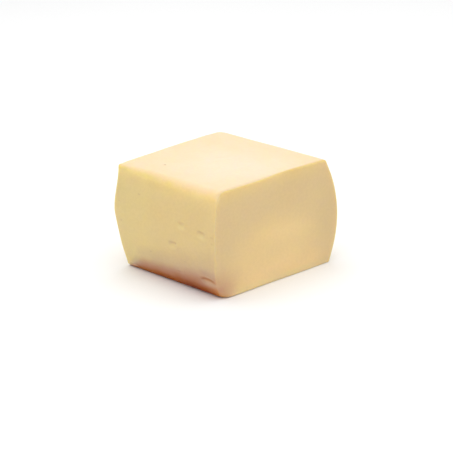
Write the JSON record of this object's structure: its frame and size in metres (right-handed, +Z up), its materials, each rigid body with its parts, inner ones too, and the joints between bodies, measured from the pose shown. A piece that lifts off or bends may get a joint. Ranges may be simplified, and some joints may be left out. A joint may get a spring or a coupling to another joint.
{
  "type": "mozzarella cheese block",
  "caption": "Half of a firm moulded mozzarella loaf: flat crisp cut at one end, softly swollen moulded sides, flat base; sliced or grated as food.",
  "frame": {"origin": "middle of the block's box in X and Y, at its flat base", "axes": "+X out of the flat cut, along the loaf it was cut from; +Y across the loaf; +Z up"},
  "size_m": [0.1418, 0.1592, 0.1004],
  "materials": {
    "mozzarella": "smooth, slightly waxy, pale cream yellow"
  },
  "bodies": {
    "root": {"mozzarella_block": "mozzarella"}
  },
  "joints": []
}
